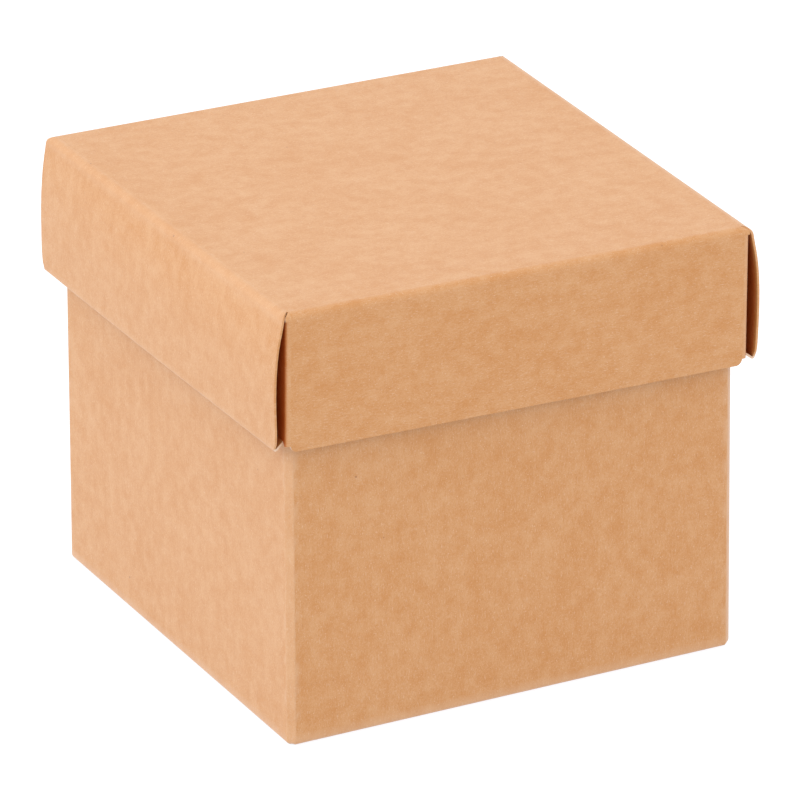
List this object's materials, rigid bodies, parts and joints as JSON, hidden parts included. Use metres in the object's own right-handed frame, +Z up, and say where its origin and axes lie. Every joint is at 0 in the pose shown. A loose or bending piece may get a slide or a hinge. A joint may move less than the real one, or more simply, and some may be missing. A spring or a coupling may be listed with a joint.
{
  "type": "cube gift box",
  "caption": "Plain cube gift box of folded kraft board: a deep base with an interlocked bottom and a shallow rolled-wall lid that lifts off.",
  "frame": {"origin": "middle of the box's underside, on the lower face of the rear bottom flap", "axes": "+Z up towards the lid, -Y towards the front wall seen in the picture, +X to the right along that wall"},
  "size_m": [0.1088, 0.107, 0.0954],
  "materials": {
    "kraft_board": "matte, uncoated brown kraft board with short darker and lighter fibres"
  },
  "bodies": {
    "base": {"box_base": "kraft_board"},
    "lid": {"box_lid": "kraft_board"}
  },
  "joints": [
    {"name": "lid_lift", "type": "slide", "parent": "base", "child": "lid", "axis": [0, 0, 1], "range_m": [0, 0.05]}
  ]
}
